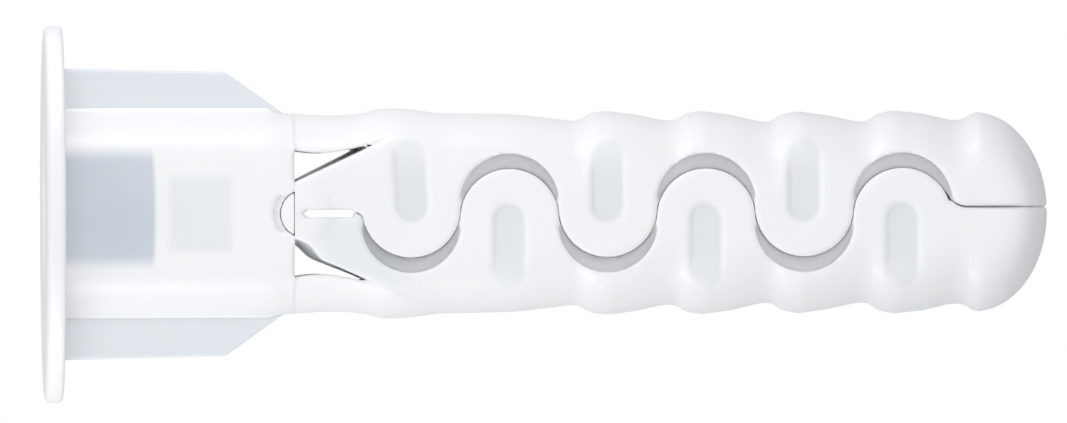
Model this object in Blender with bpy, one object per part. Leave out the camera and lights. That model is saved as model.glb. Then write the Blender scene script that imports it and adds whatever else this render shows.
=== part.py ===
"""Flanged expanding wall anchor for an 8 mm hole, split into its functional sections.

The anchor is one white plastic moulding: a flange, a finned collar with a stepped bore, and two
toothed legs that swing apart when a screw is driven between them. Each section of the moulding is
its own object, parted from its neighbour where the real one bends or changes job.

Frame: the origin is the mouth of the drilled hole, on the anchor's axis, in the plane of the wall
face. +X runs into the wall, +Z is towards the upper leg. Lengths below are in millimetres.
"""

import math

import bmesh
import bpy
from mathutils import Vector

MM = 0.001

# Driving dimensions
HOLE_DIAMETER = 8.0
BODY_RADIUS = HOLE_DIAMETER / 2
TIP_X = 39.25
FLAT_HALF_DEPTH = 3.15  # the front and back of the collar and legs are planed flat
PART_GAP = 0.02  # parting gap between neighbouring sections of the moulding
OVERSHOOT = 2.0  # how far a cutter runs past what it cuts
SECTION_STEPS = 14  # facets on each round side of the body's section
LEAST_FLAT = 0.995  # where the body is thinner than its flats, they stand at this share of its radius
RING_SPACING = 0.05  # the least distance between a section's ends and the next ring of points

# Flange
FLANGE_RADIUS = 7.5
FLANGE_THICKNESS = 0.75
FLANGE_EDGE = 0.12
FLANGE_FACETS = 72
RELIEF_RADIUS = 4.6  # inside this the flange's back is sunk, so that it bears on the wall outside it
RELIEF_DEPTH = 0.04

# Collar, its stepped bore and its two fins
COLLAR_RADIUS = 4.1
COLLAR_END_X = 9.14
COLLAR_SHOULDER = 0.45
COLLAR_END_RADIUS = 3.96
BORE_FACETS = 40
SMALL_BORE_FACETS = 24
MOUTH_RADIUS = 2.85
ENTRY_RADIUS = 2.43
ENTRY_END_X = 3.5
GUIDE_RADIUS = 1.5
GUIDE_START_X = 4.1
GUIDE_END_X = 6.7
PILOT_RADIUS = 1.0
PILOT_START_X = 7.2
FIN_THICKNESS = 0.9
FIN_HEIGHT_AT_FLANGE = 5.8
FIN_HEIGHT_AT_CHAMFER = 5.68
FIN_CHAMFER_X = 6.45
FIN_END_X = 8.65

# Bridge: the round web that ties the two arms together in the collar's socket
BRIDGE_X = 9.6
BRIDGE_RADIUS = 0.9
SOCKET_RADIUS = 1.15
SOCKET_STEPS = 32
BRIDGE_STEPS = 16
NECK_STEPS = 5
BRIDGE_BORE_RADIUS = 0.55
BRIDGE_HALF_DEPTH = 3.05

# Living hinge of each leg: the neck where its arm meets the collar's end face
HINGE_X = 9.15
HINGE_Z = 1.13

# Arms, straps and the through windows between them
ARM_ROOT_Z = 1.22
ARM_END_X = 11.8
ARM_GROOVE_RADIUS = 0.75
WINDOW_POINT_X = 12.96
WINDOW_POINT_Z = 2.97
STRAP_INNER_Z = 2.45
STRAP_KNEE = (11.05, 2.43)
STRAP_SHOULDER = (12.25, 2.70)
STRAP_END_X = 13.1
STRAP_END_RISE = 0.1
SLOT_HALF_HEIGHT = 0.16
SLOT_END_X = 11.6

# Teeth: each leg has alternate teeth on its front and back plates, a half pitch apart
TOOTH_COUNT = 6
TOOTH_PITCH = 3.904
FIRST_TOOTH_X = 13.96
TOOTH_RADIUS = 1.92
TOOTH_REACH = 1.71
RECESS_RADIUS = 1.952
RECESS_REACH = 2.33
ARC_STEPS = 14
PLATE_INNER_Y = 1.0  # half width of the screw's channel between the front and back plates
TOOTH_CUT_INNER_Y = 0.9
SPINE_INNER_Z = 2.45
# Top edge of the screw's channel: lengths before and past the jaw's ends, and heights
CHANNEL_START = ((-OVERSHOOT, 1.6), (0.7, 1.6), (2.0, SPINE_INNER_Z))
CHANNEL_END = ((-2.2, SPINE_INNER_Z), (-0.3, 0.8), (OVERSHOOT, 0.8))
POCKET_HALF_WIDTH = 0.64
POCKET_TOP_Z = 2.98
POCKET_BOTTOM_Z = -0.38
POCKET_DEPTH = 0.3
POCKET_STEPS = 8

# Tail: the split runs nearly straight from the last tooth to the tip
TAIL_START_X = 35.7
TAIL_SPLIT_Z = 0.18
TAIL_HALF_GAP = 0.08
NOSE_START_X = 35.9
NOSE_LIP_X = 36.5
NOSE_LIP_RISE = 0.45
NOSE_LIP_LAND = 0.1
NOSE_LIP_RADIUS = 3.96
NOSE_BLUNT_RADIUS = 0.9
NOSE_STEPS = 9
NOSE_TILT = math.radians(3.0)
# Bore of the nose: (position past the nose's start, radius)
NOSE_BORE = ((-OVERSHOOT, 1.6), (0.1, 0.8), (0.8, 0.5))
NOSE_SPLIT_FLARE = math.radians(0.9)
NOSE_SPLIT_HALF_GAP = 0.05

# Barbs: (crest position, crest radius, radius of the valley behind the crest)
BARB_PITCH = 3.87
FIRST_BARB_X = 13.66
BARBS = (
    (4.12, 3.97),
    (3.95, 3.67),
    (4.04, 3.65),
    (4.03, 3.60),
    (4.02, 3.62),
    (4.05, 3.66),
)
# A barb's outline over one pitch: (distance past the crest, share of the crest's height)
BARB_FOOT = ((-0.75, 0.0), (-0.45, 0.12))
BARB_RISE = ((-0.12, 0.9), (0.2, 1.0), (0.65, 0.94))
BARB_RAMP = ((1.3, 0.62), (2.1, 0.28), (2.75, 0.04))
NECK_RADIUS = 3.97  # of the legs where they leave the collar
ROOT_RADIUS = 3.93  # of the legs behind the first barb
ROOT_RADIUS_X = 11.3


def clear_scene():
    for old in list(bpy.data.objects):
        bpy.data.objects.remove(old)


def plastic(name, colour, roughness):
    """A moulded plastic of this colour."""
    material = bpy.data.materials.new(name)
    material.use_nodes = True
    shader = material.node_tree.nodes["Principled BSDF"]
    shader.inputs["Base Color"].default_value = (*colour, 1.0)
    shader.inputs["Roughness"].default_value = roughness
    shader.inputs["Metallic"].default_value = 0.0
    return material


def solid(name, points, faces, material=None):
    """A new object from points in millimetres, its faces turned outwards."""
    mesh = bpy.data.meshes.new(name)
    mesh.from_pydata([Vector(point) * MM for point in points], [], faces)
    made = bpy.data.objects.new(name, mesh)
    bpy.context.scene.collection.objects.link(made)
    if material:
        mesh.materials.append(material)
    face_outwards(mesh)
    return made


def face_outwards(mesh):
    work = bmesh.new()
    work.from_mesh(mesh)
    bmesh.ops.recalc_face_normals(work, faces=work.faces)
    work.to_mesh(mesh)
    work.free()


def loft(name, rings, material=None):
    """A closed solid through rings that have the same number of points."""
    count = len(rings[0])
    points = [point for ring in rings for point in ring]
    faces = [tuple(range(count)), tuple(range(len(points) - count, len(points)))]
    for k in range(len(rings) - 1):
        for i in range(count):
            j = (i + 1) % count
            faces.append((k * count + i, k * count + j, (k + 1) * count + j, (k + 1) * count + i))
    return solid(name, points, faces, material)


def turned(name, profile, facets):
    """A solid turned about the anchor's axis from (x, radius) points."""
    angles = [2 * math.pi * i / facets for i in range(facets)]
    rings = [[(x, r * math.cos(a), r * math.sin(a)) for a in angles] for x, r in profile]
    return loft(name, rings)


def turned_ring(name, profile, facets, material):
    """A ring turned about the anchor's axis from the closed outline of its section."""
    count = len(profile)
    points = []
    faces = []
    for k in range(facets):
        angle = 2 * math.pi * k / facets
        points += [(x, r * math.cos(angle), r * math.sin(angle)) for x, r in profile]
        here, there = k * count, (k + 1) % facets * count
        for i in range(count):
            j = (i + 1) % count
            faces.append((here + i, here + j, there + j, there + i))
    return solid(name, points, faces, material)


def prism(name, outline, y_from, y_to, material=None):
    """A solid with this outline of (x, z) points, from one depth to another."""
    rings = [[(x, y, z) for x, z in outline] for y in (y_from, y_to)]
    return loft(name, rings, material)


def cut(target, cutter, operation="DIFFERENCE"):
    """Adds a Boolean to the target, and hides its cutter."""
    modifier = target.modifiers.new(cutter.name, "BOOLEAN")
    modifier.operation = operation
    modifier.solver = "EXACT"
    modifier.object = cutter
    cutter.hide_render = True
    cutter.display_type = "WIRE"


def finished_mesh(made, *cutters):
    """The object's mesh with its Booleans applied; the object and its cutters are removed."""
    bpy.context.view_layer.update()
    graph = bpy.context.evaluated_depsgraph_get()
    mesh = bpy.data.meshes.new_from_object(made.evaluated_get(graph))
    for used in (made, *cutters):
        bpy.data.objects.remove(used)
    mesh.shade_smooth()
    mesh.set_sharp_from_angle(angle=math.radians(28))
    return mesh


def arc(centre_x, centre_z, radius, from_angle, to_angle, steps):
    """Points of an arc in the XZ plane, ends included, angles from +X towards +Z."""
    angles = [from_angle + (to_angle - from_angle) * i / steps for i in range(steps + 1)]
    return [(centre_x + radius * math.cos(a), centre_z + radius * math.sin(a)) for a in angles]


def section_ring(x, radius):
    """The body's section at x: a circle planed flat at the front and back."""
    half_depth = min(FLAT_HALF_DEPTH, radius * LEAST_FLAT)
    corner = math.acos(half_depth / radius)
    points = []
    for start in (0.0, math.pi):
        for i in range(SECTION_STEPS + 1):
            angle = start + corner + (math.pi - 2 * corner) * i / SECTION_STEPS
            points.append((x, radius * math.cos(angle), radius * math.sin(angle)))
    return points


def barb_outline():
    """(x, radius) of the legs' outside, from the straps to the nose."""
    outline = [(COLLAR_END_X - OVERSHOOT, NECK_RADIUS), (ROOT_RADIUS_X, ROOT_RADIUS)]
    valley = ROOT_RADIUS
    for i, (crest, next_valley) in enumerate(BARBS):
        crest_x = FIRST_BARB_X + i * BARB_PITCH
        for step, share in BARB_FOOT + BARB_RISE[:2]:
            outline.append((crest_x + step, valley + share * (crest - valley)))
        for step, share in BARB_RISE[2:] + BARB_RAMP:
            outline.append((crest_x + step, next_valley + share * (crest - next_valley)))
        valley = next_valley
    outline.append((NOSE_LIP_X - NOSE_LIP_RISE, valley))
    outline.append((NOSE_LIP_X, NOSE_LIP_RADIUS))
    return outline


def nose_outline():
    """(x, radius) of the nose: a quarter ellipse from its lip to the blunt tip."""
    length = TIP_X - NOSE_LIP_X - NOSE_LIP_LAND
    blunt = math.asin(NOSE_BLUNT_RADIUS / NOSE_LIP_RADIUS)
    outline = []
    for i in range(NOSE_STEPS + 1):
        angle = math.pi / 2 + (blunt - math.pi / 2) * i / NOSE_STEPS
        x = NOSE_LIP_X + NOSE_LIP_LAND + length * math.cos(angle) / math.cos(blunt)
        outline.append((x, NOSE_LIP_RADIUS * math.sin(angle)))
    return outline


def body_envelope(name, from_x, to_x, material=None):
    """The outside of the legs between two positions, as a closed solid."""
    outline = barb_outline() + nose_outline()

    def radius_at(x):
        for (x0, r0), (x1, r1) in zip(outline, outline[1:]):
            if x0 <= x <= x1:
                return r0 + (r1 - r0) * (x - x0) / (x1 - x0)
        return outline[-1][1]

    inside = [(x, r) for x, r in outline if from_x + RING_SPACING < x < to_x - RING_SPACING]
    profile = [(from_x, radius_at(from_x)), *inside, (to_x, radius_at(to_x))]
    return loft(name, [section_ring(x, r) for x, r in profile], material)


def bore_cutter(name):
    """The stepped screw bore through the collar."""
    profile = (
        (-OVERSHOOT, ENTRY_RADIUS),
        (ENTRY_END_X, ENTRY_RADIUS),
        (GUIDE_START_X, GUIDE_RADIUS),
        (GUIDE_END_X, GUIDE_RADIUS),
        (PILOT_START_X, PILOT_RADIUS),
        (COLLAR_END_X + OVERSHOOT, PILOT_RADIUS),
    )
    return turned(name, profile, BORE_FACETS)


def make_flange(material):
    profile = (
        (-FLANGE_THICKNESS, MOUTH_RADIUS),
        (-FLANGE_THICKNESS, FLANGE_RADIUS - FLANGE_EDGE),
        (FLANGE_EDGE - FLANGE_THICKNESS, FLANGE_RADIUS),
        (-FLANGE_EDGE, FLANGE_RADIUS),
        (0.0, FLANGE_RADIUS - FLANGE_EDGE),
        (0.0, RELIEF_RADIUS),
        (-RELIEF_DEPTH, RELIEF_RADIUS - RELIEF_DEPTH),
        (-RELIEF_DEPTH, ENTRY_RADIUS),
        (-FLANGE_THICKNESS / 2, ENTRY_RADIUS),
    )
    return turned_ring("flange", profile, FLANGE_FACETS, material)


def make_collar(material):
    rings = [
        section_ring(PART_GAP - RELIEF_DEPTH, COLLAR_RADIUS),
        section_ring(COLLAR_END_X - COLLAR_SHOULDER, COLLAR_RADIUS),
        section_ring(COLLAR_END_X, COLLAR_END_RADIUS),
    ]
    collar = loft("collar", rings, material)
    cut(collar, bore_cutter("collar_bore_cutter"))
    socket = arc(BRIDGE_X, 0, SOCKET_RADIUS, 0, 2 * math.pi, SOCKET_STEPS)[:-1]
    cut(collar, prism("socket_cutter", socket, -COLLAR_RADIUS - OVERSHOOT, COLLAR_RADIUS + OVERSHOOT))
    return collar


def make_fin(name, side, material):
    """One anti-rotation fin, on the upper (side 1) or lower (side -1) edge of the collar."""
    foot = COLLAR_RADIUS + PART_GAP
    outline = [
        (PART_GAP, foot),
        (PART_GAP, FIN_HEIGHT_AT_FLANGE),
        (FIN_CHAMFER_X, FIN_HEIGHT_AT_CHAMFER),
        (FIN_END_X, foot),
    ]
    outline = [(x, side * z) for x, z in outline]
    return prism(name, outline, -FIN_THICKNESS / 2, FIN_THICKNESS / 2, material)


def make_bridge(material):
    """The half-round web between the arms, bored for the screw's point."""
    outline = arc(BRIDGE_X, 0, BRIDGE_RADIUS, math.pi / 2, 3 * math.pi / 2, BRIDGE_STEPS)
    bridge = prism("bridge", outline, -BRIDGE_HALF_DEPTH, BRIDGE_HALF_DEPTH, material)
    bore = [(BRIDGE_X + reach, BRIDGE_BORE_RADIUS) for reach in (-OVERSHOOT, OVERSHOOT)]
    cut(bridge, turned("bridge_bore_cutter", bore, SMALL_BORE_FACETS))
    return bridge


def arm_edge_z(x):
    """Height of the arm's outer edge, which is also the window's lower side."""
    slope = (WINDOW_POINT_Z - ARM_ROOT_Z) / (WINDOW_POINT_X - HINGE_X)
    return ARM_ROOT_Z + slope * (x - HINGE_X)


def strap_mesh():
    """The upper strap: the thin outer web that bends as the leg swings."""
    start = COLLAR_END_X + PART_GAP
    end = STRAP_END_X - PART_GAP
    strap = body_envelope("strap", start, end)
    inner = [
        (start - OVERSHOOT, STRAP_INNER_Z),
        (start, STRAP_INNER_Z),
        STRAP_KNEE,
        STRAP_SHOULDER,
        (WINDOW_POINT_X, WINDOW_POINT_Z),
        (end + OVERSHOOT, WINDOW_POINT_Z + STRAP_END_RISE),
        (end + OVERSHOOT, -BODY_RADIUS - OVERSHOOT),
        (start - OVERSHOOT, -BODY_RADIUS - OVERSHOOT),
    ]
    cutter = prism("strap_cutter", inner, -BODY_RADIUS - OVERSHOOT, BODY_RADIUS + OVERSHOOT)
    cut(strap, cutter)
    return finished_mesh(strap, cutter)


def arm_mesh():
    """The upper arm: the strut from the hinge neck to the leg's first tooth."""
    start = COLLAR_END_X + PART_GAP * 2
    reach = BRIDGE_RADIUS + PART_GAP
    top_angle = math.acos((start - BRIDGE_X) / reach)
    outline = [
        *arc(BRIDGE_X, 0, reach, top_angle, math.pi / 2, NECK_STEPS),
        (BRIDGE_X + PART_GAP, reach),
        (BRIDGE_X + PART_GAP, SLOT_HALF_HEIGHT),
        (ARM_END_X, SLOT_HALF_HEIGHT),
        (ARM_END_X, arm_edge_z(ARM_END_X)),
        (start, arm_edge_z(start)),
    ]
    arm = prism("arm", outline, -FLAT_HALF_DEPTH, FLAT_HALF_DEPTH)
    groove = (
        (BRIDGE_X - OVERSHOOT, BRIDGE_BORE_RADIUS),
        (BRIDGE_X, BRIDGE_BORE_RADIUS),
        (ARM_END_X, ARM_GROOVE_RADIUS),
        (ARM_END_X + OVERSHOOT, ARM_GROOVE_RADIUS),
    )
    cutter = turned("arm_groove_cutter", groove, SMALL_BORE_FACETS)
    cut(arm, cutter)
    return finished_mesh(arm, cutter)


def toothed_edge(front):
    """The lower edge of the upper leg's front or back plate, from the slot to the tail."""
    edge = [(ARM_END_X - OVERSHOOT, SLOT_HALF_HEIGHT), (SLOT_END_X, SLOT_HALF_HEIGHT)]
    tooth_centre = TOOTH_RADIUS - TOOTH_REACH
    recess_centre = RECESS_REACH - RECESS_RADIUS
    for i in range(TOOTH_COUNT):
        x = FIRST_TOOTH_X + i * TOOTH_PITCH
        if (i % 2 == 0) == front:
            edge += arc(x, tooth_centre, TOOTH_RADIUS, math.pi, 2 * math.pi, ARC_STEPS)
        else:
            edge += arc(x, recess_centre, RECESS_RADIUS, math.pi, 0, ARC_STEPS)
    split = TAIL_SPLIT_Z if front else -TAIL_SPLIT_Z
    edge += [(TAIL_START_X, split + TAIL_HALF_GAP)]
    edge += [(NOSE_START_X + OVERSHOOT, split + TAIL_HALF_GAP)]
    return edge


def below(edge):
    """The outline of everything under an edge."""
    floor = -BODY_RADIUS - OVERSHOOT
    return [*edge, (edge[-1][0], floor), (edge[0][0], floor)]


def pocket_outline(x):
    """A round-ended pocket in a tooth's face."""
    top = arc(x, POCKET_TOP_Z - POCKET_HALF_WIDTH, POCKET_HALF_WIDTH, 0, math.pi, POCKET_STEPS)
    bottom_z = POCKET_BOTTOM_Z + POCKET_HALF_WIDTH
    return top + arc(x, bottom_z, POCKET_HALF_WIDTH, math.pi, 2 * math.pi, POCKET_STEPS)


def jaw_mesh():
    """The upper jaw: a barbed spine with a front and a back plate of teeth."""
    outside = BODY_RADIUS + OVERSHOOT
    jaw = body_envelope("jaw", ARM_END_X + PART_GAP, NOSE_START_X - PART_GAP)
    inner = TOOTH_CUT_INNER_Y
    notch = [
        (ARM_END_X - OVERSHOOT, arm_edge_z(ARM_END_X - OVERSHOOT)),
        (WINDOW_POINT_X, WINDOW_POINT_Z),
        (STRAP_END_X, WINDOW_POINT_Z + PART_GAP),
        (STRAP_END_X, outside),
        (ARM_END_X - OVERSHOOT, outside),
    ]
    channel = [(ARM_END_X + reach, z) for reach, z in CHANNEL_START]
    channel += [(NOSE_START_X + reach, z) for reach, z in CHANNEL_END]
    cutters = [
        prism("front_teeth_cutter", below(toothed_edge(front=True)), -outside, -inner),
        prism("back_teeth_cutter", below(toothed_edge(front=False)), inner, outside),
        prism("channel_cutter", below(channel), -PLATE_INNER_Y, PLATE_INNER_Y),
        prism("strap_notch_cutter", notch, -outside, outside),
    ]
    floor = FLAT_HALF_DEPTH - POCKET_DEPTH
    for i in range(TOOTH_COUNT):
        outline = pocket_outline(FIRST_TOOTH_X + i * TOOTH_PITCH)
        depths = (-outside, -floor) if i % 2 == 0 else (floor, outside)
        cutters.append(prism(f"pocket_cutter_{i}", outline, *depths))
    for cutter in cutters:
        cut(jaw, cutter)
    return finished_mesh(jaw, *cutters)


def nose_mesh():
    """The upper half of the nose, parted from the lower on a plane tilted about the axis."""
    nose = body_envelope("nose", NOSE_START_X + PART_GAP, TIP_X)
    outside = BODY_RADIUS + OVERSHOOT
    flare = (TIP_X - NOSE_START_X) * math.tan(NOSE_SPLIT_FLARE)
    half = [
        (NOSE_START_X - OVERSHOOT, NOSE_SPLIT_HALF_GAP),
        (TIP_X + OVERSHOOT, TAIL_HALF_GAP + flare),
        (TIP_X + OVERSHOOT, -outside),
        (NOSE_START_X - OVERSHOOT, -outside),
    ]
    parting = prism("parting_cutter", half, -outside, outside)
    parting.rotation_euler.x = -NOSE_TILT
    bore = [(NOSE_START_X + reach, radius) for reach, radius in NOSE_BORE]
    bore.append((TIP_X + OVERSHOOT, bore[-1][1]))
    pilot = turned("nose_bore_cutter", bore, SMALL_BORE_FACETS)
    cut(nose, parting)
    cut(nose, pilot)
    return finished_mesh(nose, parting, pilot)


def hinge_empty(name, side):
    """The axis of one leg's living hinge. The lower leg's frame is the upper's, turned half round."""
    hinge = bpy.data.objects.new(name, None)
    hinge.location = Vector((HINGE_X, 0, side * HINGE_Z)) * MM
    hinge.rotation_euler.x = 0 if side > 0 else math.pi
    hinge.empty_display_size = 2 * MM
    bpy.context.scene.collection.objects.link(hinge)
    return hinge


def place(name, mesh, material, parent=None, half_turn=False):
    """An object that shows this mesh, either in a leg's frame or in the anchor's."""
    made = bpy.data.objects.new(name, mesh)
    if not mesh.materials:
        mesh.materials.append(material)
    if parent:
        made.parent = parent
        made.location = Vector((-HINGE_X, 0, -HINGE_Z)) * MM
    elif half_turn:
        made.rotation_euler.x = math.pi
    bpy.context.scene.collection.objects.link(made)
    return made


def main():
    clear_scene()
    white = plastic("white_polypropylene", (0.86, 0.88, 0.90), 0.42)
    thin = plastic("thin_polypropylene", (0.76, 0.79, 0.84), 0.38)
    make_flange(white)
    make_collar(white)
    make_fin("upper_fin", 1, thin)
    make_fin("lower_fin", -1, thin)
    make_bridge(white)
    strap = strap_mesh()
    place("upper_strap", strap, white)
    place("lower_strap", strap, white, half_turn=True)
    sections = {"arm": arm_mesh(), "jaw": jaw_mesh(), "nose": nose_mesh()}
    for leg, side in (("upper", 1), ("lower", -1)):
        hinge = hinge_empty(f"{leg}_leg_hinge_axis", side)
        for section, mesh in sections.items():
            place(f"{leg}_{section}", mesh, white, parent=hinge)


main()
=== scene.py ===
"""The looks of the flanged wall anchor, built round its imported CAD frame.

The anchor is one milky polypropylene moulding. Each of its pieces is described here as a field, a
function of position that is negative inside the plastic, so that the fillets, the draft and the soft
barbs of a moulding come from blending simple shapes. A field is then meshed at its zero level.

Fields and sizes are in millimetres, in the CAD frame: +X runs into the wall along the anchor's axis,
+Z is towards the upper leg and the camera looks along +Y. Meshes are in metres.
"""

import math

import bmesh
import bpy
import numpy as np
import openvdb
from mathutils import Matrix, Vector


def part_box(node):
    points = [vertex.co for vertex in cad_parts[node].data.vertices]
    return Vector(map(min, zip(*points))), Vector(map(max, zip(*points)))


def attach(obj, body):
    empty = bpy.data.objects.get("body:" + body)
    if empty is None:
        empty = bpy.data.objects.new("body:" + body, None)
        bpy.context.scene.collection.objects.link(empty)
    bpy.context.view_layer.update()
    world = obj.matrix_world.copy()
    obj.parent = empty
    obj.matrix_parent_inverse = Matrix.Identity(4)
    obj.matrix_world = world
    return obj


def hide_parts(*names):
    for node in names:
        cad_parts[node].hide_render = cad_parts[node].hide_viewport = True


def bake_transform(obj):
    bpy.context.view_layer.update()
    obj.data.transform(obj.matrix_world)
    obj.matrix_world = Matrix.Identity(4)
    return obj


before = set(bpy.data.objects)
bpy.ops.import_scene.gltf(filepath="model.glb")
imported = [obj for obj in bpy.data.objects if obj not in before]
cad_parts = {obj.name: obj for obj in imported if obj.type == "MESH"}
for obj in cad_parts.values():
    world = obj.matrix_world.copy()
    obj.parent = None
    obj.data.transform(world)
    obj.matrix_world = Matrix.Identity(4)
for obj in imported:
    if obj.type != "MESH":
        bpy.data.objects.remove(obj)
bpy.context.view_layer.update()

MM = 0.001


def box_mm(node):
    """A CAD node's lowest and highest corners, in millimetres."""
    return [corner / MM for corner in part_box(node)]


# Sizes that the frame gives
FLANGE_LOW, FLANGE_HIGH = box_mm("flange")
COLLAR_HIGH = box_mm("collar")[1]
FIN_HEIGHT = box_mm("upper_fin")[1].z
TIP_X = box_mm("upper_nose")[1].x
COLLAR_END_X = COLLAR_HIGH.x
COLLAR_RADIUS = COLLAR_HIGH.z
FLAT_Y = COLLAR_HIGH.y  # half the depth between the planed front and back
FLANGE_RADIUS = FLANGE_HIGH.z
FLANGE_FRONT_X = FLANGE_LOW.x

# Rounding of the planed front and back, and the collar's last stretch, where it takes on the legs' radius
PLANED_ROUNDING = 0.45
COLLAR_TAPER = 1.0

# Screw bore, as points (position, radius), and the way on between the legs
BORE = ((-0.75, 2.95), (-0.3, 2.45), (3.5, 2.43), (4.1, 1.5), (6.7, 1.5), (7.2, 1.0), (9.3, 0.95))
LEG_BORE = (
    (9.1, 0.5), (10.4, 0.5), (11.3, 0.15), (12.4, 0.15),
    (14.0, 1.0), (34.5, 1.0), (36.0, 0.5), (40.0, 0.5),
)

# The bore as it shows through the collar, painted as shade on its planed sides: its wide entry, and the
# narrower guide behind it
ENTRY_END_X = 3.62
ENTRY_CENTRE_Z = 0.24
ENTRY_HALF_HEIGHT = 2.19
ENTRY_SHADE, ENTRY_CORE_SHADE = 0.84, 0.10  # the second is added round the darkest spot
DARKEST_X, DARKEST_Z = 2.6, -0.5
GUIDE_X = 5.4
GUIDE_HALF_LENGTH = 1.25
GUIDE_HALF_HEIGHT = 1.5
GUIDE_SHADE = 0.28

# Fins: the top slopes down to a shoulder, where a chamfer begins. Each stands on a small foot.
SHOULDER_X = 6.45
SHOULDER_Z = 5.65
CHAMFER_RISE = 0.01  # of the chamfer's plane over the shoulder
CHAMFER_DROP, CHAMFER_RUN = 1.58, 2.2
FIN_HALF_WIDTH = 0.47
FIN_DRAFT = 0.03
FIN_ROOT_Z = 3.95
UPPER_FOOT_HEIGHT, LOWER_FOOT_HEIGHT = 0.12, 0.02
FOOT_HALF_WIDTH = 0.7
FOOT_END_X = 8.3

# Knuckle that ties the arms together, in its round socket in the collar's end
KNUCKLE_X = 9.52
KNUCKLE_RADIUS = 0.93
KNUCKLE_CROWN = 0.1
SOCKET_GAP = 0.30
SOCKET_HALF_HEIGHT = 0.74
SOCKET_STEP = 0.08  # depth of the socket's floor beside the knuckle, from where it slopes down
CORE_RADIUS = 0.62
CORE_DEPTH = 0.15
CORE_HOLE_RADIUS = 0.6

# Windows between the straps and the arms, and the slot between the arms
WINDOW_ROOT_Z = 1.86
WINDOW_ROOT_HALF_HEIGHT = 0.6
ARM_ROOT_Z = 1.25
ARM_SLOPE = 0.4634
ARM_DRAFT, ARM_DRAFT_GROWTH = 0.03, 0.045  # at the collar's end, and what each millimetre adds
STRAP_THIN_X = 10.2
STRAP_INNER_Z = 2.40
STRAP_ROOT_RISE, STRAP_ROOT_RUN = 0.12, 1.06
STRAP_TAIL_RISE, STRAP_TAIL_RUN = 0.59, 2.75
# Crease that goes on from each window's narrow end, along the arm's top edge
CREASE_END_X = 13.05
CREASE_DEPTH = 0.3
CREASE_RISE = 0.05
CREASE_HALF_WIDTH = 0.08
CREASE_OVERLAP = 0.15
# Slot
SLOT_START_X = 9.48
SLOT_END_X = 11.45
SLOT_HALF_HEIGHT = 0.16
SLOT_END_LEAN = 0.055
SLOT_START_ROUNDING = 0.06
# Lower arm, measured down from the axis: its silhouette, and its front edge where that is scooped away
LOWER_ARM = ((9.14, 1.06), (9.48, 1.36), (9.83, 1.72), (10.13, 1.87), (11.73, 2.50), (12.98, 3.05))
LOWER_SCOOP = ((9.14, 0.95), (9.42, 1.05), (9.82, 1.33), (10.13, 1.8), (10.93, 2.13), (12.98, 3.08))
SCOOP_START_Y = 1.5

# Teeth
TOOTH_COUNT = 6
TOOTH_PITCH = 3.904
FIRST_TOOTH_X = 13.75
TOOTH_RADIUS = 1.9615
TOOTH_CENTRE_Z = 0.21
TOOTH_FILLET = 0.01
TOOTH_CLEARANCE = 0.004  # to the ledge that closes the recess round it
TEETH_ROOT_Z = 0.3
RECESS_RADIUS = 1.965
RECESS_CENTRE_Z = 0.385
LEDGE_DEPTH = 1.3
LEDGE_SOFTNESS = 0.2
LEDGE_STARTS, LEDGE_FULL = 0.18, 0.48  # cosines from the upright; the recess has no depth before the first
WALL_LEAN = -0.06  # of the recesses' walls, for each millimetre of depth
POCKET_CENTRE_Z = 1.3
POCKET_HALF_WIDTH = 0.62
POCKET_HALF_STRAIGHT = 1.04
POCKET_DEPTH = 0.10
FIRST_POCKET_LEAN = -0.05
# Painted shade in the first pocket and in the others
FIRST_POCKET_SHADE, POCKET_SHADE = 0.42, 0.38

# Parting line between the arms: its height on the front, and how it drops past the slot's end
PARTING_Z = 0.06
PARTING_DROP = 0.2
PARTING_RUN = 0.5
PARTING_CLEARANCE = 0.012

# Tail
TAIL_START_X = 35.35
TAIL_SPLIT_Z = 0.2
TAIL_LEAD = 0.2
TAIL_GAP = 0.08
TAIL_GAP_GROWTH = 0.018
TAIL_GAP_DEPTH = 0.16  # under the skin, where the gap narrows
TAIL_GAP_SOFTNESS = 0.12
NARROWED_GAP = 0.01
TAIL_FILLET = 0.7
NOSE_X = 36.35
NOSE_RADIUS = 3.97

# Outside of the legs: points (x, radius) that a smooth curve follows
LEG_OUTLINE = (
    (8.0, 4.04), (9.2, 3.98), (10.4, 3.90), (11.3, 3.91), (12.0, 4.0), (12.7, 4.18), (13.6, 4.17),
    (15.0, 3.99), (17.9, 3.94),
    (19.2, 3.80), (20.3, 3.66), (20.6, 3.72), (21.05, 3.98), (21.65, 4.06), (22.8, 3.92), (23.9, 3.68),
    (24.4, 3.67), (24.82, 3.95), (25.45, 4.05), (26.6, 3.90), (27.8, 3.62), (28.2, 3.61), (28.66, 3.90),
    (29.3, 4.03), (30.5, 3.86), (31.6, 3.62), (32.05, 3.61), (32.52, 3.93), (33.1, 4.05), (34.3, 3.92),
    (35.4, 3.66), (35.85, 3.67), (36.33, 3.95), (37.0, 3.97),
)
OUTLINE_SOFTNESS = 0.2

# Meshes: their step, and how far a field's box goes past the plastic and past the seam
STEP = 0.1
FINE_STEP = STEP * 0.6
MARGIN = 0.2
PAST_SEAM = 0.3

# Colours, and how far light scatters in the plastic
MILKY_COLOUR = (0.955, 0.960, 0.966)
# Painted shade: the fins get a darker, bluer copy of the milky colour, standing in for the shade in their
# narrow plates
FIN_PAINTED_SHADE_COLOUR = (0.785, 0.81, 0.84)
PAINTED_SHADE_TINT = (0.62, 0.665, 0.725)  # painted shade: what the colour is multiplied by where the points carry painted shade
SUBSURFACE = 0.35
SCATTER_LENGTH = 0.22
FLOOR_COLOUR = (0.88, 0.88, 0.88)
SURROUND_COLOUR = (0.935, 0.96, 0.985)
SURROUND = (0.83, 0.45)  # its brightness on the flange's side and on the tail's

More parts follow.
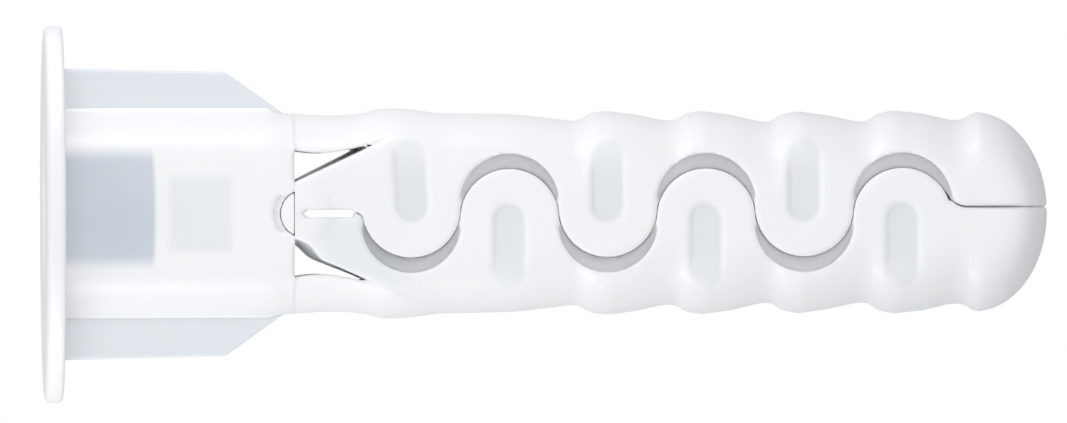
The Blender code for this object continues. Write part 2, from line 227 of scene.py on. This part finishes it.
# Stage, camera and lights. A light has a name, a place, what it points at, a size and its watts.
FLOOR_PLACE = (19, 0, -75)
FLOOR_RADIUS = 110
CAMERA_AZIMUTH = -2.8
CAMERA_ROLL = -0.17
CAMERA_DISTANCE = 680.0
FRAME_WIDTH = 42.5
FRAME_CENTRE = (18.76, 0, 0.06)
SENSOR_WIDTH = 36
LIGHTS = (
    ("front_softbox", (46, -160, 30), (24, 0, 0), (180, 140), 0.077),
    ("upper_left_lamp", (-2, -14, 50), (8, 0, 2), (30, 30), 0.0085),
    ("lower_left_lamp", (-8, -14, -47), (6, 0, -2), (30, 30), 0.0080),
)


def smooth_curve(points, softness):
    """A function of x that follows these points, with its corners rounded over this length."""
    xs, ys = np.array(points).T
    step = softness / 12
    fine = np.arange(xs[0] - softness, xs[-1] + softness, step)
    window = np.hanning(2 * int(softness / step) + 3)
    rough = np.interp(fine, xs, ys)
    padded = np.pad(rough, len(window) // 2, mode="edge")
    soft = np.convolve(padded, window / window.sum(), mode="valid")
    return lambda x: np.interp(x, fine, soft)


leg_radius = smooth_curve(LEG_OUTLINE, OUTLINE_SOFTNESS)
collar_bore_radius = smooth_curve(BORE, 0.12)
leg_bore_radius = smooth_curve(LEG_BORE, 0.3)
lower_arm_outer = smooth_curve(LOWER_ARM, 0.25)
lower_arm_scoop = smooth_curve(LOWER_SCOOP, 0.25)


def join(a, b, fillet):
    """Two fields as one solid, with a fillet of about this size where they meet."""
    share = np.clip(0.5 + 0.5 * (b - a) / fillet, 0, 1)
    return b + (a - b) * share - fillet * share * (1 - share)


def common(a, b, rounding):
    """What two fields share, with its edges rounded."""
    return -join(-a, -b, rounding)


def without(a, b, rounding):
    """The first field with the second cut out, with the cut's edges rounded."""
    return common(a, -b, rounding)


def ease(t):
    """A soft step, from 0 where t is 0 to 1 where t is 1."""
    t = np.clip(t, 0, 1)
    return t * t * (3 - 2 * t)


def meshed(name, field, low, high, step, cuts=(), painted_shade=None):
    """An object at the zero level of a field, within a box. cuts are planes where it is cut off flat, as
    cut_flat takes them. The last argument, if given, is a function of position whose values are stored on
    the points as painted shade: up to 1 where the colour is painted darkest, and else 0."""
    axes = [np.arange(a, b + step, step) for a, b in zip(low, high)]
    grid_x, grid_y, grid_z = np.meshgrid(*axes, indexing="ij", sparse=True)
    shape = [len(axis) for axis in axes]
    values = np.broadcast_to(field(grid_x, grid_y, grid_z), shape).astype(np.float32)
    grid = openvdb.FloatGrid(1.0)
    grid.copyFromArray(np.ascontiguousarray(values))
    points, triangles, quads = grid.convertToPolygons(0.0, 0.0)
    mesh = bpy.data.meshes.new(name)
    places = (points * step + np.array(low)) * MM
    mesh.from_pydata(places.tolist(), [], [*triangles.tolist(), *quads.tolist()])
    work = bmesh.new()
    work.from_mesh(mesh)
    for cut in cuts:
        cut_flat(work, *cut)
    bmesh.ops.recalc_face_normals(work, faces=work.faces)
    for face in work.faces:
        face.smooth = True
    work.to_mesh(mesh)
    work.free()
    mesh.set_sharp_from_angle(angle=math.radians(62))
    if painted_shade:
        places = np.empty(3 * len(mesh.vertices), np.float32)
        mesh.vertices.foreach_get("co", places)
        shade = painted_shade(*(places.reshape(-1, 3) / MM).T).astype(np.float32)
        mesh.attributes.new("painted_shade", "FLOAT", "POINT").data.foreach_set("value", shade)
    made = bpy.data.objects.new(name, mesh)
    bpy.context.scene.collection.objects.link(made)
    return made


def cut_flat(work, point, keep, end_x=math.inf):
    """Cuts a mesh off at a plane through a point, closes the cut, and keeps the side that this
    direction points to. Only what lies before end_x is cut."""
    faces = [face for face in work.faces if all(vert.co.x < end_x * MM for vert in face.verts)]
    edges = {edge for face in faces for edge in face.edges}
    verts = {vert for face in faces for vert in face.verts}
    bmesh.ops.bisect_plane(
        work,
        geom=[*verts, *edges, *faces],
        plane_co=Vector(point) * MM,
        plane_no=keep,
        clear_inner=True,
    )
    rim = [edge for edge in work.edges if edge.is_boundary]
    bmesh.ops.triangle_fill(work, edges=rim, use_beauty=True)


def distance_from_axis(y, z):
    return np.sqrt(y * y + z * z)


def disc(x, z, centre_x, centre_z, radius):
    """The field of a round bar along Y."""
    return np.sqrt((x - centre_x) ** 2 + (z - centre_z) ** 2) - radius


def planed(field, y):
    """A field with its front and back planed flat."""
    return common(field, np.abs(y) - FLAT_Y, PLANED_ROUNDING)


# Collar, fins and flange


def collar_field(x, y, z):
    """The collar with the fins' feet, its bore and the knuckle's socket. It goes past the seam, where
    its mesh is cut off flat, except beside the windows, where its end is rounded."""
    end = ease((x - COLLAR_END_X + COLLAR_TAPER) / COLLAR_TAPER)
    radius = COLLAR_RADIUS * (1 - end) + leg_radius(COLLAR_END_X) * end
    body = planed(distance_from_axis(y, z) - radius, y)
    foot = np.where(z > 0, z - COLLAR_RADIUS - UPPER_FOOT_HEIGHT, -z - COLLAR_RADIUS - LOWER_FOOT_HEIGHT)
    foot = common(common(foot, np.abs(y) - FOOT_HALF_WIDTH, 0.1), x - FOOT_END_X, 0.2)
    body = common(join(body, foot, 0.15), -0.02 - x, 0.02)
    body = without(body, distance_from_axis(y, z) - collar_bore_radius(x), 0.05)
    at_window = window_of(np.abs(np.abs(z) - WINDOW_ROOT_Z) - WINDOW_ROOT_HALF_HEIGHT, 0.1)
    body = common(body, x - COLLAR_END_X - 0.6 + 0.61 * at_window, 0.01 + 0.19 * at_window)
    from_knuckle = np.sqrt((x - KNUCKLE_X) ** 2 + z * z) - KNUCKLE_RADIUS
    socket = common(from_knuckle - SOCKET_GAP, np.abs(z) - SOCKET_HALF_HEIGHT, 0.1)
    floor = FLAT_Y - SOCKET_STEP - np.clip(from_knuckle, 0, SOCKET_GAP) - np.abs(y)
    body = without(body, common(socket, floor, 0.05), 0.08)
    return without(body, from_knuckle - 0.02, 0.02)


def window_of(distance, softness):
    """1 well inside a distance field, 0 outside it, with a soft border of this width."""
    return ease(0.5 - distance / softness)


def collar_painted_shade(x, y, z):
    """Painted shade: the stepped bore's shadow as it shows through the collar's planed sides, where the
    wall is thinner.
    """
    bulge = ENTRY_END_X - 0.10 * (z / 2.4) ** 2
    entry = window_of(x - bulge, 0.22) * window_of(np.abs(z - ENTRY_CENTRE_Z) - ENTRY_HALF_HEIGHT, 0.75)
    core = window_of(np.hypot(x - DARKEST_X, z - DARKEST_Z) - 1.3, 1.8)
    shade = ENTRY_SHADE + ENTRY_CORE_SHADE * core
    guide = window_of(np.abs(x - GUIDE_X) - GUIDE_HALF_LENGTH, 0.4)
    guide = guide * window_of(np.abs(z) - GUIDE_HALF_HEIGHT, 0.45)
    return (entry * shade + GUIDE_SHADE * guide) * (np.abs(y) > FLAT_Y - 0.3)


def fin_field(x, y, z):
    """The upper fin. Its sides have draft."""
    slope = (FIN_HEIGHT - SHOULDER_Z) / SHOULDER_X
    top = z - (FIN_HEIGHT - slope * x)
    chamfer = (x - SHOULDER_X) * CHAMFER_DROP + (z - SHOULDER_Z - CHAMFER_RISE) * CHAMFER_RUN
    chamfer = chamfer / math.hypot(CHAMFER_DROP, CHAMFER_RUN)
    side = np.abs(y) - (FIN_HALF_WIDTH - FIN_DRAFT * (z - COLLAR_RADIUS))
    plate = common(common(top, chamfer, 0.1), side, 0.1)
    return common(common(plate, FIN_ROOT_Z - z, 0.02), 0.005 - x, 0.01)


# Legs


def leg_outside(x, y, z):
    """The legs' outside: the barbed body, and an elliptical nose from its lip to the tip."""
    off_axis = distance_from_axis(y, z)
    body = off_axis - leg_radius(x)
    length = TIP_X - NOSE_X
    along = np.maximum(x - NOSE_X, 0) / length
    reach = np.sqrt(along**2 + (off_axis / NOSE_RADIUS) ** 2)
    steepness = np.sqrt((along / length) ** 2 + (off_axis / NOSE_RADIUS**2) ** 2)
    nose = (reach - 1) * reach / np.maximum(steepness, 1e-6)
    return planed(np.where(x < NOSE_X, body, nose), y)


def toothed_side(x, y, z, front):
    """What lies above the wavy parting line on the front or the back of the upper leg. A ledge closes
    each recess round the tooth that sits in it, and the walls down to the ledge lean."""
    sign = 1 if front else -1
    depth = FLAT_Y - np.abs(y)
    x = x + WALL_LEAN * np.minimum(depth, LEDGE_DEPTH)
    height = PARTING_Z - PARTING_DROP * ease((x - SLOT_END_X) / PARTING_RUN)
    above = sign * height + PARTING_CLEARANCE - z
    above = np.where(x > FIRST_TOOTH_X, TEETH_ROOT_Z - z, above)
    half_gap = TAIL_GAP / 2 + TAIL_GAP_GROWTH * np.maximum(x - TAIL_START_X, 0)
    along = np.clip((x - NOSE_X) / (TIP_X - NOSE_X), 0, 1)
    skin_y = np.minimum(NOSE_RADIUS * np.sqrt(1 - along**2), FLAT_Y)
    narrowed = ease((skin_y - np.abs(y) - TAIL_GAP_DEPTH) / TAIL_GAP_SOFTNESS)
    tail_z = sign * TAIL_SPLIT_Z + half_gap * (1 - narrowed) + NARROWED_GAP * narrowed
    above = np.where(x > TAIL_START_X - TAIL_LEAD, tail_z - z, above)
    for i in range(TOOTH_COUNT):
        centre = FIRST_TOOTH_X + i * TOOTH_PITCH
        fillet = TOOTH_FILLET
        if i == TOOTH_COUNT - 1:
            fillet = np.where(x > centre, TAIL_FILLET, TOOTH_FILLET)
        if (i % 2 == 0) == front:
            above = join(above, disc(x, z, centre, TOOTH_CENTRE_Z, TOOTH_RADIUS), fillet)
        else:
            upright = (z + TOOTH_CENTRE_Z) / np.maximum(np.hypot(x - centre, z + TOOTH_CENTRE_Z), 0.01)
            ledge = LEDGE_DEPTH * upright * ease((upright - LEDGE_STARTS) / (LEDGE_FULL - LEDGE_STARTS))
            closed = ease((depth - ledge + LEDGE_SOFTNESS) / LEDGE_SOFTNESS)
            recess_z = RECESS_CENTRE_Z * (1 - closed) - TOOTH_CENTRE_Z * closed
            recess_radius = RECESS_RADIUS * (1 - closed) + (TOOTH_RADIUS + TOOTH_CLEARANCE) * closed
            above = without(above, disc(x, z, centre, recess_z, recess_radius), fillet)
    return np.where(x < SLOT_START_X, -z - 0.2, above)


def strap_inner_z(x):
    """Height of the strap's inner edge, which is also the window's outer side."""
    towards_root = STRAP_ROOT_RISE * ((STRAP_THIN_X - x) / STRAP_ROOT_RUN) ** 2
    towards_tail = STRAP_TAIL_RISE * (np.maximum(x - STRAP_THIN_X, 0) / STRAP_TAIL_RUN) ** 1.6
    return STRAP_INNER_Z + np.where(x < STRAP_THIN_X, towards_root, towards_tail)


def upper_arm_top(x, y):
    """The upper arm's top edge: straight, with draft from its front to its back."""
    draft = ARM_DRAFT + ARM_DRAFT_GROWTH * (x - COLLAR_END_X)
    return ARM_ROOT_Z + ARM_SLOPE * (x - COLLAR_END_X) + draft * (y / FLAT_Y + 1) / 2


def lower_arm_top(x, y):
    """The lower arm's edge in the upper leg's frame, where its scooped front is at +Y."""
    scoop = ease((y - SCOOP_START_Y) / (FLAT_Y - SCOOP_START_Y))
    return lower_arm_outer(x) * (1 - scoop) + lower_arm_scoop(x) * scoop


def pocket(x, z, i):
    """An upright round-ended pocket in tooth i. The first one leans a little."""
    centre = FIRST_TOOTH_X + i * TOOTH_PITCH
    lean = FIRST_POCKET_LEAN if i == 0 else 0.0
    across = x - centre - lean * (z - POCKET_CENTRE_Z)
    beyond = np.maximum(np.abs(z - POCKET_CENTRE_Z) - POCKET_HALF_STRAIGHT, 0)
    return np.sqrt(across**2 + beyond**2) - POCKET_HALF_WIDTH


def knuckle_field(x, y, z):
    """The round web that ties the arms together, with a soft crown at its front and back."""
    from_centre = np.sqrt((x - KNUCKLE_X) ** 2 + z * z)
    crown = np.abs(y) - FLAT_Y - KNUCKLE_CROWN * (1 - (from_centre / KNUCKLE_RADIUS) ** 2)
    return common(from_centre - KNUCKLE_RADIUS, crown, 0.12)


def knuckle_core_field(x, y, z):
    """The knuckle's part in the collar's socket, and its core, which lies within the arms."""
    behind = common(knuckle_field(x, y, z), x - COLLAR_END_X - 0.3, 0.02)
    core = common(disc(x, z, KNUCKLE_X, 0, CORE_RADIUS), np.abs(y) - FLAT_Y + CORE_DEPTH, 0.1)
    core = common(core, x - SLOT_START_X + 0.1, 0.05)
    whole = np.where(x < COLLAR_END_X + 0.02, behind, core)
    return without(whole, distance_from_axis(y, z) - CORE_HOLE_RADIUS, 0.05)


def leg_field(arm_top, rear, through_x):
    """The field of one leg with its strap, in the upper leg's frame. rear is 1 where that frame's +Y
    is at the anchor's back, and -1 where it is at the front. The window ends at through_x,
    where a shallow crease goes on."""

    def field(x, y, z):
        front = toothed_side(x, y, z, True)
        back = toothed_side(x, y, z, False)
        leg = common(leg_outside(x, y, z), np.where(y < 0, front, back), 0.03)
        window = common(arm_top(x, y) - z, z - strap_inner_z(x), 0.1)
        window = common(window, x - through_x, 0.06)
        leg = without(leg, window, 0.11)
        crease = np.abs(z - arm_top(x, y) - CREASE_RISE) - CREASE_HALF_WIDTH
        crease = common(crease, FLAT_Y + rear * y - CREASE_DEPTH, 0.05)
        crease = common(common(crease, through_x - CREASE_OVERLAP - x, 0.05), x - CREASE_END_X, 0.05)
        leg = without(leg, crease, 0.05)
        leg = join(leg, knuckle_field(x, y, z), 0.35)
        rounding = SLOT_START_ROUNDING * (z / SLOT_HALF_HEIGHT) ** 2
        slot = common(np.abs(z) - SLOT_HALF_HEIGHT, SLOT_START_X + rounding - x, 0.08)
        slot_end = SLOT_END_X + SLOT_END_LEAN * (FLAT_Y + rear * y)
        leg = without(leg, common(slot, x - slot_end, 0.08), 0.06)
        leg = without(leg, distance_from_axis(y, z) - leg_bore_radius(x), 0.08)
        for i in range(TOOTH_COUNT):
            depth = (y if i % 2 == 0 else -y) + FLAT_Y - POCKET_DEPTH
            leg = without(leg, common(pocket(x, z, i), depth, 0.1), 0.16)
        return leg

    return field


def leg_painted_shade(arm_shade):
    """Painted shade on a leg: its arm darkened below the window, and the pockets in its teeth, which leave
    a thinner wall, darkened too.
    """

    def painted_shade(x, y, z):
        under_window = z < ARM_ROOT_Z + ARM_SLOPE * (x - COLLAR_END_X) + 0.1
        shade = arm_shade * under_window * ease((x - 9.6) / 1.0) * ease((14.5 - x) / 2)
        for i in range(TOOTH_COUNT):
            right_side = (y < -2.4) if i % 2 == 0 else (y > 2.4)
            fade = 1 - 0.45 * ease((z - 1.2) / 1.6)
            strength = FIRST_POCKET_SHADE if i == 0 else POCKET_SHADE
            shade = np.maximum(shade, strength * fade * right_side * window_of(pocket(x, z, i), 0.22))
        return shade

    return painted_shade


# Each leg's name, the top edge of its arm, which way its frame's +Y looks, where its window ends and how
# much painted shade darkens its arm
LEGS = (("upper", upper_arm_top, 1, 12.5, 0.09), ("lower", lower_arm_top, -1, 12.0, 0.27))


def make_flange():
    """The flange, turned from its section, with rolled edges and a countersunk mouth."""
    front = FLANGE_FRONT_X
    section = [
        (front + 0.45, 2.45), (front + 0.12, 2.83), (front + 0.03, 2.97), (front, 3.1),
        (front, 4.2), (front, 5.8), (front, 7.15), (front + 0.025, 7.34), (front + 0.12, 7.47),
        (front + 0.24, FLANGE_RADIUS), (-0.20, FLANGE_RADIUS), (-0.09, 7.47), (-0.02, 7.38), (0.0, 7.25),
        (0.0, 6.0), (0.0, 4.75), (-0.015, 4.64), (-0.04, 4.56), (-0.04, 4.2), (-0.04, 2.45),
    ]
    facets = 192
    work = bmesh.new()
    rings = []
    for k in range(facets):
        angle = 2 * math.pi * k / facets
        turn = (math.cos(angle), math.sin(angle))
        rings.append([work.verts.new((x * MM, r * turn[0] * MM, r * turn[1] * MM)) for x, r in section])
    for ring, following in zip(rings, rings[1:] + rings[:1]):
        for i in range(len(section)):
            j = (i + 1) % len(section)
            work.faces.new((ring[i], ring[j], following[j], following[i]))
    bmesh.ops.recalc_face_normals(work, faces=work.faces)
    for face in work.faces:
        face.smooth = True
    mesh = bpy.data.meshes.new("flange_moulding")
    work.to_mesh(mesh)
    work.free()
    mesh.set_sharp_from_angle(angle=math.radians(40))
    made = bpy.data.objects.new("flange_moulding", mesh)
    bpy.context.scene.collection.objects.link(made)
    return made


# Materials


def plastic(name, colour, roughness):
    """Milky polypropylene: light scatters in it, and its skin has a fine moulded grain."""
    material = bpy.data.materials.new(name)
    material.use_nodes = True
    nodes, links = material.node_tree.nodes, material.node_tree.links
    shader = nodes["Principled BSDF"]
    shader.inputs["IOR"].default_value = 1.49
    shader.inputs["Subsurface Weight"].default_value = SUBSURFACE
    shader.inputs["Subsurface Radius"].default_value = (1.0, 1.05, 1.15)
    shader.inputs["Subsurface Scale"].default_value = SCATTER_LENGTH * MM
    place = nodes.new("ShaderNodeTexCoord")

    def noise(scale, detail=3.0):
        made = nodes.new("ShaderNodeTexNoise")
        made.inputs["Scale"].default_value = scale
        made.inputs["Detail"].default_value = detail
        links.new(place.outputs["Object"], made.inputs["Vector"])
        return made

    cloud = noise(220.0)
    tint = nodes.new("ShaderNodeMix")
    tint.data_type = "RGBA"
    tint.inputs[6].default_value = (*[c * 0.985 for c in colour], 1)
    tint.inputs[7].default_value = (*[min(c * 1.01, 1) for c in colour], 1)
    links.new(cloud.outputs["Fac"], tint.inputs[0])
    # Painted shade: the shade stored on the points darkens the colour towards the tint of painted shade
    painted_shade = nodes.new("ShaderNodeAttribute")
    painted_shade.attribute_name = "painted_shade"
    shade_mix = nodes.new("ShaderNodeMix")
    shade_mix.data_type = "RGBA"
    shade_mix.blend_type = "MULTIPLY"
    shade_mix.inputs[7].default_value = (*PAINTED_SHADE_TINT, 1)
    links.new(painted_shade.outputs["Fac"], shade_mix.inputs[0])
    links.new(tint.outputs[2], shade_mix.inputs[6])
    links.new(shade_mix.outputs[2], shader.inputs["Base Color"])
    gloss = nodes.new("ShaderNodeMapRange")
    gloss.inputs["To Min"].default_value = roughness - 0.06
    gloss.inputs["To Max"].default_value = roughness + 0.06
    links.new(noise(700.0).outputs["Fac"], gloss.inputs["Value"])
    links.new(gloss.outputs["Result"], shader.inputs["Roughness"])
    bump = nodes.new("ShaderNodeBump")
    bump.inputs["Strength"].default_value = 0.12
    bump.inputs["Distance"].default_value = 0.02 * MM
    links.new(noise(5000.0, 2.0).outputs["Fac"], bump.inputs["Height"])
    links.new(bump.outputs["Normal"], shader.inputs["Normal"])
    return material


def finish_piece(piece, material, *nodes, body=None, slot="body_plastic"):
    """Gives a piece its material, the CAD nodes it stands for and its body. Its slot is not used."""
    piece.data.materials.append(material)
    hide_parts(*nodes)
    if body:
        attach(piece, body)


# Stage


def make_floor():
    """A plain pale disc under the anchor."""
    mesh = bpy.data.meshes.new("floor")
    work = bmesh.new()
    bmesh.ops.create_circle(work, cap_ends=True, segments=96, radius=FLOOR_RADIUS * MM)
    work.to_mesh(mesh)
    work.free()
    floor = bpy.data.objects.new("floor", mesh)
    floor.location = Vector(FLOOR_PLACE) * MM
    bpy.context.scene.collection.objects.link(floor)
    material = bpy.data.materials.new("floor_white")
    material.use_nodes = True
    shader = material.node_tree.nodes["Principled BSDF"]
    shader.inputs["Base Color"].default_value = (*FLOOR_COLOUR, 1)
    shader.inputs["Roughness"].default_value = 0.8
    mesh.materials.append(material)


def make_world():
    """A white backdrop for the camera, and a softer surround, dimmer on the tail's side, for light."""
    world = bpy.data.worlds.new("studio")
    bpy.context.scene.world = world
    world.use_nodes = True
    nodes, links = world.node_tree.nodes, world.node_tree.links
    nodes.clear()
    output = nodes.new("ShaderNodeOutputWorld")
    seen = nodes.new("ShaderNodeBackground")
    seen.inputs["Color"].default_value = (1, 1, 1, 1)
    surround = nodes.new("ShaderNodeBackground")
    surround.inputs["Color"].default_value = (*SURROUND_COLOUR, 1)
    towards = nodes.new("ShaderNodeSeparateXYZ")
    links.new(nodes.new("ShaderNodeTexCoord").outputs["Generated"], towards.inputs[0])
    strength = nodes.new("ShaderNodeMapRange")
    strength.inputs["From Min"].default_value = -1
    strength.inputs["To Min"].default_value, strength.inputs["To Max"].default_value = SURROUND
    links.new(towards.outputs["X"], strength.inputs["Value"])
    links.new(strength.outputs["Result"], surround.inputs["Strength"])
    path = nodes.new("ShaderNodeLightPath")
    mix = nodes.new("ShaderNodeMixShader")
    links.new(path.outputs["Is Camera Ray"], mix.inputs["Fac"])
    links.new(surround.outputs[0], mix.inputs[1])
    links.new(seen.outputs[0], mix.inputs[2])
    links.new(mix.outputs[0], output.inputs[0])


def area_light(name, place, target, size, watts):
    light = bpy.data.lights.new(name, "AREA")
    light.shape = "RECTANGLE"
    light.size, light.size_y = size[0] * MM, size[1] * MM
    light.energy = watts
    made = bpy.data.objects.new(name, light)
    made.location = Vector(place) * MM
    aim = (Vector(target) - Vector(place)).to_track_quat("-Z", "Y")
    made.rotation_euler = aim.to_euler()
    made.visible_camera = False
    bpy.context.scene.collection.objects.link(made)


def make_camera():
    """A long lens on the anchor's front, turned a little towards the flange's face."""
    camera = bpy.data.cameras.new("camera")
    camera.sensor_width = SENSOR_WIDTH
    camera.lens = CAMERA_DISTANCE * SENSOR_WIDTH / FRAME_WIDTH
    camera.clip_start = 0.01
    camera.clip_end = 10
    made = bpy.data.objects.new("camera", camera)
    turn = math.radians(CAMERA_AZIMUTH)
    back = Vector((math.sin(turn), -math.cos(turn), 0))
    target = Vector(FRAME_CENTRE)
    made.location = (target + back * CAMERA_DISTANCE) * MM
    aim = (-back).to_track_quat("-Z", "Y").to_matrix().to_4x4()
    roll = Matrix.Rotation(math.radians(CAMERA_ROLL), 4, "Z")
    made.rotation_euler = (aim @ roll).to_euler()
    bpy.context.scene.collection.objects.link(made)
    bpy.context.scene.camera = made


def main():
    scene = bpy.context.scene
    scene.view_settings.view_transform = "Standard"
    make_camera()
    make_floor()
    make_world()
    for light in LIGHTS:
        area_light(*light)

    white = plastic("milky_polypropylene", MILKY_COLOUR, roughness=0.38)
    # The fins' material is the same plastic, darkened by painted shade
    thin = plastic("thin_polypropylene", FIN_PAINTED_SHADE_COLOUR, roughness=0.35)

    finish_piece(make_flange(), white, "flange", body="root")
    low = (-0.3, -FLAT_Y - MARGIN, -COLLAR_RADIUS - MARGIN)
    high = (COLLAR_END_X + PAST_SEAM, FLAT_Y + MARGIN, COLLAR_RADIUS + MARGIN)
    seam = (COLLAR_END_X, 0, 0)
    collar = meshed("collar_moulding", collar_field, low, high, STEP, [(seam, (-1, 0, 0))], collar_painted_shade)
    finish_piece(collar, white, "collar", body="root")
    for side, name in ((1, "upper_fin"), (-1, "lower_fin")):
        low, high = (-0.1, -0.9, 3.8), (8.9, 0.9, 6.0)
        fin = meshed(name + "_moulding", fin_field, low, high, FINE_STEP)
        if side < 0:
            fin.data.transform(Matrix.Rotation(math.pi, 4, "X"))
        finish_piece(fin, thin, name, body="root", slot="thin_plastic")
    low = (KNUCKLE_X - 1.2, -FLAT_Y - 0.4, -1.2)
    high = (KNUCKLE_X + 1.2, FLAT_Y + 0.4, 1.2)
    knuckle = meshed("knuckle_web", knuckle_core_field, low, high, FINE_STEP)
    finish_piece(knuckle, white, "bridge", body="root")

    for leg, arm_top, rear, through_x, arm_shade in LEGS:
        low = (COLLAR_END_X - PAST_SEAM, -FLAT_Y - MARGIN, -2.0)
        high = (TIP_X + MARGIN, FLAT_Y + MARGIN, 4.4)
        cuts = [(seam, (1, 0, 0)), ((0, 0, 0), (0, 0, 1), SLOT_START_X + 0.5)]
        field = leg_field(arm_top, rear, through_x)
        made = meshed(leg + "_leg_moulding", field, low, high, STEP, cuts, leg_painted_shade(arm_shade))
        turn = Matrix.Rotation(math.pi if leg == "lower" else 0, 4, "X")
        made.data.transform(turn)
        parts = [f"{leg}_{part}" for part in ("strap", "arm", "jaw", "nose")]
        finish_piece(made, white, *parts)
        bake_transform(made)


main()
